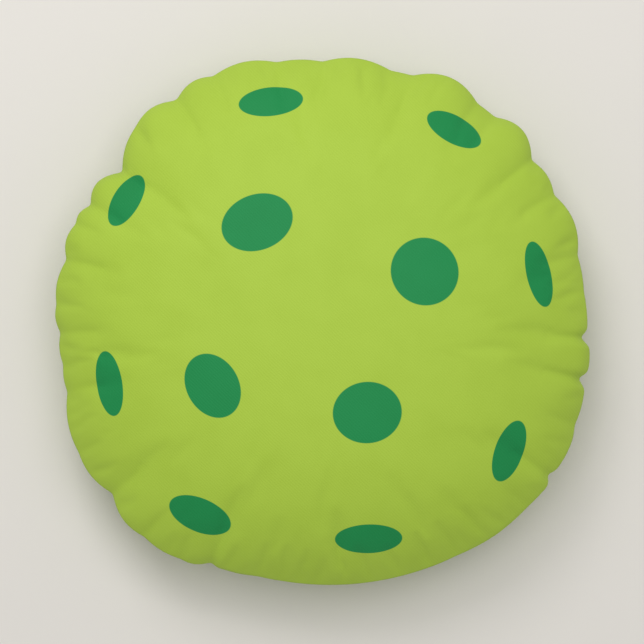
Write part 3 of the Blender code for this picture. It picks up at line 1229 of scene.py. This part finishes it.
@dataclass
class Insert:
    """Insert: a casing of two panels, its stitches, its fibre and its blank label."""

    rim: Rim
    panels: dict[Side, Panel]
    cover_gap: float = 2.6
    cloth_thickness: float = 0.5
    fill_gap: float = 0.6
    lump_depth: float = 3.0
    lump_size: float = 28.0
    stitch_pitch: float = 3.6
    stitch_length: float = 2.8
    thread_radius: float = 0.3
    seam_insets: Point = (18.0, 27.5)
    mean_seam_inset: float = 20.0
    seam_lead: float = 0.75
    label_size: Point = (28.0, 40.0)
    label_degrees: float = 175.0
    label_share: float = 0.75
    # Outermost ring of the casing and of the fill, then the rows past it
    casing_edge: Point = (5.6, 9.0)
    fill_edge: Point = (8.6, 10.6)
    casing_rows: tuple[tuple[Point, Point], ...] = (
        ((6.6, 4.2), (6.6, 6.4)),
        ((12.0, 3.0), (14.4, 5.9)),
        ((17.0, 2.2), (26.4, 3.3)),
        ((18.0, 0.2), (27.5, 0.2)),
        ((22.0, 0.2), (31.5, 0.2)),
        ((26.0, 0.2), (35.5, 0.2)),
    )
    fill_rows: tuple[tuple[Point, Point], ...] = (
        ((9.6, 6.0), (9.6, 8.6)),
        ((14.0, 4.8), (16.0, 7.9)),
        ((19.5, 3.8), (28.4, 5.0)),
        ((20.6, 1.8), (30.2, 1.8)),
        ((27.2, 1.6), (36.6, 1.6)),
    )

    def build(self) -> None:
        """Make, dress and place every piece of the insert."""
        for side, panel in self.panels.items():
            self.casing(side, panel)
        self.seam()
        self.fill()
        panel, middle = self.panels[Side.FRONT], (self.label_degrees, self.label_share)
        satin_label(panel, "law_label_satin", "insert_law_label", middle, self.label_size)

    def domed(self, panel: Panel, depth: float, edge: Point) -> np.ndarray:
        """Net of an inner piece, whose outermost ring is drawn in to clear the seam.

        Args:
            panel: Panel that the piece lies under.
            depth: How far under its calm shape.
            edge: Inset and height of the outermost ring.

        Returns:
            One row of x, y and height for each vertex.
        """
        top = panel.under(depth)
        for corner in panel.net.loops[0]:
            place = self.rim.place(panel.net.degrees[corner], edge[0], 0.0, Side.FRONT)
            top[corner] = (place.x, place.y, edge[1])
        return top

    def casing(self, side: Side, panel: Panel) -> None:
        """One panel of the casing.

        Args:
            side: Front or back.
            panel: Cover panel that it lies under.
        """
        name = f"insert_casing_{side.word}_cloth"
        top = self.domed(panel, self.cover_gap, self.casing_edge)
        made = panel.shell(name, top, [panel.row(*row) for row in self.casing_rows])
        add_modifier(made, "SOLIDIFY", thickness=self.cloth_thickness * MM, offset=-1.0)
        made.data.shade_smooth()
        finish_piece(made, CASING_CLOTH, f"insert_casing_{side.word}")

    def seam(self) -> None:
        """Stitches that close the casing, all the way round."""
        places = []
        round_seam = 2.0 * math.pi * (self.rim.mean_radius - self.mean_seam_inset)
        count = round(round_seam / self.stitch_pitch)
        for number in range(count):
            degrees = 360.0 * number / count
            inset = between(*self.seam_insets, self.rim.opened(degrees)) - self.seam_lead
            places.append(rim_matrix(self.rim, degrees, inset, 0.0))
        template = stitch(self.thread_radius, self.stitch_length)
        made = copies(template, places, "insert_seam_stitches")
        finish_piece(made, CASING_THREAD, "insert_seam_thread")

    def fill(self) -> None:
        """Lumpy body of fibre with a notch where the casing's seam turns in."""
        depth = self.cover_gap + self.cloth_thickness + self.fill_gap
        halves = []
        for side, panel in self.panels.items():
            top = self.domed(panel, depth, self.fill_edge)
            top -= panel.normals * self.lumps(panel.base)[:, None]
            rows = [panel.row(*row) for row in self.fill_rows]
            halves.append(panel.shell(f"fill_{side.word}", top, rows))
        front, back = halves
        pick(front)
        back.select_set(True)
        bpy.ops.object.join()
        front.name = "insert_fibre"
        bpy.ops.object.mode_set(mode="EDIT")
        bpy.ops.mesh.select_mode(type="EDGE")
        bpy.ops.mesh.select_all(action="DESELECT")
        bpy.ops.mesh.select_non_manifold()
        bpy.ops.mesh.bridge_edge_loops()
        bpy.ops.object.mode_set(mode="OBJECT")
        face_out(front)
        front.data.shade_smooth()
        finish_piece(front, FIBRE_FILL, "insert_fill")

    def lumps(self, base: np.ndarray) -> np.ndarray:
        """Depth of the dips between tufts, at each vertex.

        Args:
            base: Places of the vertices.

        Returns:
            One depth in millimetres for each vertex.
        """
        made = []
        for place in base:
            # Three octaves, each twice as fine; the noise swings about 0.
            level = 0.5 + noise.fractal(Vector(place) / self.lump_size, 1.0, 2.0, 3)
            made.append(self.lump_depth * min(max(level, 0.0), 1.0))
        return np.array(made)


@dataclass
class Zip:
    """Concealed zip: tapes, coils, stitched rows, stops, slider and pull."""

    rim: Rim
    tape_insets: Point = (8.8, 24.5)
    tape_heights: Point = (0.35, 0.75)
    tape_arc: Point = (249.8, 317.2)
    # Fuller edge of the tape: how far its crest, underside and foot are from
    # the edge, and how far its crest and edge stand proud
    bead_widths: tuple[float, float, float] = (1.2, 1.6, 2.0)
    bead_heights: Point = (0.15, 0.1)
    coil_arc: Point = (251.1, 315.9)
    coil_inset: float = 7.5
    coil_height: float = 1.1
    coil_radius: float = 0.66
    filament_radius: float = 0.2
    coil_pitch: float = 1.5
    row_inset: float = 17.0
    row_height: float = 2.15
    stitch_pitch: float = 3.0
    stitch_length: float = 2.4
    thread_radius: float = 0.22
    tape_steps: int = 120
    tape_bevel: float = 0.08
    edge_bevel: float = 0.18
    flat_angle: float = 1.0
    bevel_angle: float = 35.0
    smooth_angle: float = 30.0

    def build(self, nodes: dict[str, bpy.types.Object]) -> None:
        """Make, dress and place every piece of the zip.

        Args:
            nodes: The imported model's own objects, by name.
        """
        for side in Side:
            self.tape(side)
            self.coil(side)
            self.stitching(side)
        for end in ("top", "bottom"):
            ZIP_METAL.dress(nodes[f"zipper_{end}_stop"])
        self.casting(nodes["zipper_slider"], "slider_casting", "slider")
        self.casting(nodes["zipper_pull"], "pull_tab", "pull")

    def point(self, degrees: float, inset: float, height: float) -> Vector:
        """World point on the zip's arc, in metres.

        Args:
            degrees: Angle about the arc's centre.
            inset: How far in from the rim.
            height: How far above the seam plane.

        Returns:
            The point.
        """
        place = PLACES.arc_centre + polar(self.rim.zip_radius - inset, degrees)
        place.z += height
        return place * MM

    def spun(self, name: str, section: Rows, arc: Point) -> bpy.types.Object:
        """Piece with a constant section, spun round the zip's arc.

        Args:
            name: Name of the piece.
            section: Its outline as (inset, height) points.
            arc: Start and end angle.

        Returns:
            The piece, closed and facing out.
        """
        deselect_all()
        bpy.ops.mesh.primitive_circle_add(vertices=len(section), fill_type="NGON")
        made = bpy.context.object
        made.name = name
        for vertex, (inset, height) in zip(made.data.vertices, section):
            vertex.co = self.point(arc[0], inset, height)
        bpy.ops.object.mode_set(mode="EDIT")
        bpy.ops.mesh.select_all(action="SELECT")
        bpy.ops.mesh.spin(
            steps=self.tape_steps,
            angle=-math.radians(arc[1] - arc[0]),
            center=PLACES.arc_centre * MM,
            axis=(0.0, 0.0, 1.0),
        )
        bpy.ops.object.mode_set(mode="OBJECT")
        face_out(made)
        return made

    def tape(self, side: Side) -> None:
        """Woven tape with a fuller edge beside the coil.

        Args:
            side: Front or back.
        """
        low, high = (side.value * height for height in self.tape_heights)
        near, far = self.tape_insets
        crest, under, foot = (near + width for width in self.bead_widths)
        proud, edge = (high + side.value * height for height in self.bead_heights)
        section = [
            (near, low), (under, low), (far, low), (far, high),
            (foot, high), (crest, proud), (near, edge),
        ]
        made = self.spun(f"zip_tape_{side.word}_woven", section, self.tape_arc)
        made.data.shade_smooth()
        add_modifier(made, "BEVEL", width=self.tape_bevel * MM, segments=2, limit_method="ANGLE")
        finish_piece(made, ZIP_TAPE, f"zipper_tape_{side.word}")

    def coil(self, side: Side) -> None:
        """Nylon filament wound into a coil along the arc, as a tube on a helix.

        Args:
            side: Front or back.
        """
        radius = self.rim.zip_radius - self.coil_inset
        sweep = math.radians(self.coil_arc[1] - self.coil_arc[0])
        turns = round(radius * sweep / self.coil_pitch)
        per_turn = 12
        curve = bpy.data.curves.new("coil_line", "CURVE")
        curve.dimensions = "3D"
        line = curve.splines.new("POLY")
        line.points.add(turns * per_turn)
        for k, point in enumerate(line.points):
            share = k / (turns * per_turn)
            turn = 2.0 * math.pi * turns * share + (0.0 if side is Side.FRONT else math.pi)
            inset = self.coil_inset + self.coil_radius * math.cos(turn)
            height = side.value * (self.coil_height + self.coil_radius * math.sin(turn))
            degrees = between(*self.coil_arc, share)
            point.co = (*self.point(degrees, inset, height), 1.0)
        curve.bevel_depth = self.filament_radius * MM
        curve.bevel_resolution = 1
        curve.use_fill_caps = True
        made = bpy.data.objects.new(f"zip_coil_{side.word}_filament", curve)
        bpy.context.scene.collection.objects.link(made)
        pick(made)
        bpy.ops.object.convert(target="MESH")
        made = bpy.context.object
        face_out(made)
        made.data.shade_smooth()
        finish_piece(made, ZIP_COIL, f"zipper_coil_{side.word}")

    def stitching(self, side: Side) -> None:
        """Row of stitches that sews a tape to its allowance.

        Args:
            side: Front or back.
        """
        radius = self.rim.zip_radius - self.row_inset
        start, end = self.tape_arc
        count = int(radius * math.radians(end - start) / self.stitch_pitch)
        places = []
        for number in range(count):
            degrees = between(start, end, (number + 0.5) / count)
            place = self.point(degrees, self.row_inset, side.value * self.row_height)
            turn = Matrix.Rotation(math.radians(degrees), 4, "Z")
            places.append(Matrix.Translation(place) @ turn)
        template = stitch(self.thread_radius, self.stitch_length)
        made = copies(template, places, f"zip_stitches_{side.word}")
        finish_piece(made, COVER_THREAD, f"zipper_stitching_{side.word}")

    def casting(self, node: bpy.types.Object, name: str, body: str) -> None:
        """Die-cast piece with softened edges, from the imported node's own shape.

        Args:
            node: Packed object that gives the shape.
            name: Name of the piece.
            body: Body that carries it.
        """
        made = bpy.data.objects.new(name, node.data.copy())
        bpy.context.scene.collection.objects.link(made)
        face_out(made)
        bpy.ops.object.mode_set(mode="EDIT")
        bpy.ops.mesh.select_all(action="SELECT")
        bpy.ops.mesh.dissolve_limited(angle_limit=math.radians(self.flat_angle))
        bpy.ops.object.mode_set(mode="OBJECT")
        add_modifier(
            made,
            "BEVEL",
            width=self.edge_bevel * MM,
            segments=2,
            limit_method="ANGLE",
            angle_limit=math.radians(self.bevel_angle),
        )
        bpy.ops.object.shade_smooth_by_angle(angle=math.radians(self.smooth_angle))
        finish_piece(made, ZIP_METAL, node.name, body)


# --- shared pieces -------------------------------------------------------------

STITCH_SIDES = 6
STITCH_INSET = 0.45  # inset of a stitch's ends, as a share of the thread's radius
STITCH_DIVE = 0.8  # how far they reach on, the same way
END_FACING = 0.9  # a face whose normal lies this much along Y is an end
LABEL_DEPTH = 1.5
LABEL_THICKNESS = 0.3
LABEL_LIMIT = 0.96  # share of the way to the rim that a label stays inside


def stitch(radius: float, length: float) -> bpy.types.Object:
    """One stitch of thread along Y at the origin, with ends that dive into the cloth.

    Args:
        radius: Radius of the thread.
        length: Length between its holes.

    Returns:
        The stitch, ready to be copied.
    """
    deselect_all()
    bpy.ops.mesh.primitive_cylinder_add(
        vertices=STITCH_SIDES,
        radius=radius * MM,
        depth=length * MM,
        rotation=(math.radians(90.0), 0.0, 0.0),
    )
    made = bpy.context.object
    bpy.ops.object.transform_apply(location=True, rotation=True, scale=True)
    bpy.ops.object.mode_set(mode="EDIT")
    bpy.ops.mesh.select_mode(type="FACE")
    bpy.ops.mesh.select_all(action="DESELECT")
    shape = bmesh.from_edit_mesh(made.data)
    for face in shape.faces:
        face.select = abs(face.normal.y) > END_FACING
    bmesh.update_edit_mesh(made.data)
    bpy.ops.mesh.inset(thickness=STITCH_INSET * radius * MM)
    for face in shape.faces:
        face.select = abs(face.normal.y) > END_FACING and len(face.verts) == STITCH_SIDES
    bmesh.update_edit_mesh(made.data)
    bpy.ops.transform.resize(value=(1.0, 1.0 + STITCH_DIVE * radius / length, 1.0))
    bpy.ops.object.mode_set(mode="OBJECT")
    made.data.shade_smooth()
    return made


def rim_matrix(rim: Rim, degrees: float, inset: float, height: float) -> Matrix:
    """World place on the rim for a small piece drawn along Y.

    Args:
        rim: Rim that it follows.
        degrees: Direction from the panels' centre.
        inset: How far in from the rim.
        height: How far above the seam plane.

    Returns:
        Matrix in metres.
    """
    step = 0.3
    before = rim.place(degrees - step, inset, height, Side.FRONT)
    after = rim.place(degrees + step, inset, height, Side.FRONT)
    along = (after - before).normalized()
    across = along.cross(Vector((0.0, 0.0, 1.0))).normalized()
    turn = Matrix((across, along, across.cross(along))).transposed().to_4x4()
    middle = PLACES.centre + rim.place(degrees, inset, height, Side.FRONT)
    return Matrix.Translation(middle * MM) @ turn


def satin_label(panel: Panel, name: str, node: str, middle: Point, size: Point) -> None:
    """Blank label that lies on the calm shape just under a panel.

    Args:
        panel: Panel that it lies under.
        name: Name of the piece.
        node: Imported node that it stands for.
        middle: Direction of the label's middle, and its share of the way to the rim.
        size: Width along the rim, and length towards the middle.
    """
    across, down = 14, 18
    degrees, share = middle
    radius = share * panel.rim.mean_radius
    places = []
    for j in range(down + 1):
        for k in range(across + 1):
            swing = math.degrees(size[0] * (k / across - 0.5) / radius)
            reach = share + size[1] * (0.5 - j / down) / panel.net.cloth_radius
            place = panel.spot_under(min(reach, LABEL_LIMIT), degrees + swing, LABEL_DEPTH)
            places.append((place.x, place.y, panel.side.value * place.z))
    faces = []
    for j in range(down):
        for k in range(across):
            corner = j * (across + 1) + k
            faces.append((corner, corner + 1, corner + across + 2, corner + across + 1))
    made = object_from(name, (np.array(places) + np.array(PLACES.centre)) * MM, faces)
    face_out(made)
    add_modifier(made, "SOLIDIFY", thickness=LABEL_THICKNESS * MM, offset=0.0)
    made.data.shade_smooth()
    finish_piece(made, SATIN, node)


def finish_piece(
    made: bpy.types.Object, finish: Finish, node: str, body: str = "pillow"
) -> None:
    """Dress a piece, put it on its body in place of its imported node, and report it.

    Args:
        made: The piece.
        finish: Its material.
        node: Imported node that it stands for.
        body: Body that carries it.
    """
    finish.dress(made)
    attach(made, body)
    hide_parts(node)
    LOG.info("%s: %d faces, on %s", made.name, len(made.data.polygons), body)


# --- studio --------------------------------------------------------------------


@dataclass(frozen=True)
class PaleFloor(SpeckledFinish):
    """Matt painted board: pale and even."""

    name: str = "matt_painted_board"
    roughness: float = 0.95
    specular: float = 0.1
    light: str = "#E4E0DA"
    deep: str = "#E2DED8"
    grain: float = 60.0
    bump: float = 0.0


@dataclass(frozen=True)
class Lamp:
    """Square soft light: its place and size in metres, and its power in watts."""

    name: str
    place: tuple[float, float, float]
    size: float
    power: float


@dataclass
class Studio:
    """Plain floor, soft light and a camera straight above."""

    lens: float = 135.0
    sensor: float = 36.0
    view_width: float = 455.0
    aim: Point = (0.3, -1.1)
    floor_size: float = 12.0
    floor_gap: float = 0.2
    # A soft key from the upper left, a broad light overhead and a pale world
    lamps: tuple[Lamp, ...] = (
        Lamp("key", (-0.42, 0.95, 1.3), 0.7, 7.6),
        Lamp("overhead", (0.15, 0.45, 2.2), 1.6, 19.0),
    )
    world_colour: str = "#FFFFFF"
    world_strength: float = 0.46

    def build(self) -> None:
        """Make the floor, the lights, the world and the camera."""
        self.floor()
        self.lights()
        self.camera()
        bpy.context.scene.view_settings.view_transform = "Standard"

    def floor(self) -> None:
        """Flat floor under the pillow."""
        deselect_all()
        under = (0.0, 0.0, -self.floor_gap * MM)
        bpy.ops.mesh.primitive_plane_add(size=self.floor_size, location=under)
        floor = bpy.context.object
        floor.name = "floor"
        bpy.ops.object.transform_apply(location=True, rotation=True, scale=True)
        PaleFloor().dress(floor)

    def lights(self) -> None:
        """The lamps and the world."""
        for lamp in self.lamps:
            self.hang(lamp)
        world = bpy.data.worlds.new("studio")
        bpy.context.scene.world = world
        world.use_nodes = True
        background = world.node_tree.nodes["Background"]
        background.inputs["Color"].default_value = linear(self.world_colour)
        background.inputs["Strength"].default_value = self.world_strength

    def hang(self, lamp: Lamp) -> None:
        """Put up one lamp, aimed at the pillow.

        Args:
            lamp: The lamp.
        """
        light = bpy.data.lights.new(lamp.name, "AREA")
        light.size = lamp.size
        light.energy = lamp.power
        made = bpy.data.objects.new(lamp.name, light)
        bpy.context.scene.collection.objects.link(made)
        made.location = lamp.place
        made.rotation_euler = (-Vector(lamp.place)).to_track_quat("-Z", "Y").to_euler()

    def camera(self) -> None:
        """Long lens straight above, with +Y at the top of the picture."""
        data = bpy.data.cameras.new("camera")
        data.lens = self.lens
        data.sensor_width = self.sensor
        camera = bpy.data.objects.new("camera", data)
        bpy.context.scene.collection.objects.link(camera)
        distance = self.lens * self.view_width / self.sensor
        camera.location = Vector((*self.aim, PLACES.centre.z + distance)) * MM
        bpy.context.scene.camera = camera


def main() -> None:
    """Build every sub-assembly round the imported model."""
    logging.basicConfig(level=logging.INFO, format="%(name)s: %(message)s")
    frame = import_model()
    deselect_all()
    rim = Rim()
    PLACES.read(frame, rim)
    net = Net()
    stuffing = Stuffing()
    panels = {side: Panel(rim, stuffing, net, side) for side in Side}
    Cover(rim, panels).build()
    Insert(rim, panels).build()
    Zip(rim).build(frame["nodes"])
    Studio().build()


if __name__ == "__main__":
    main()
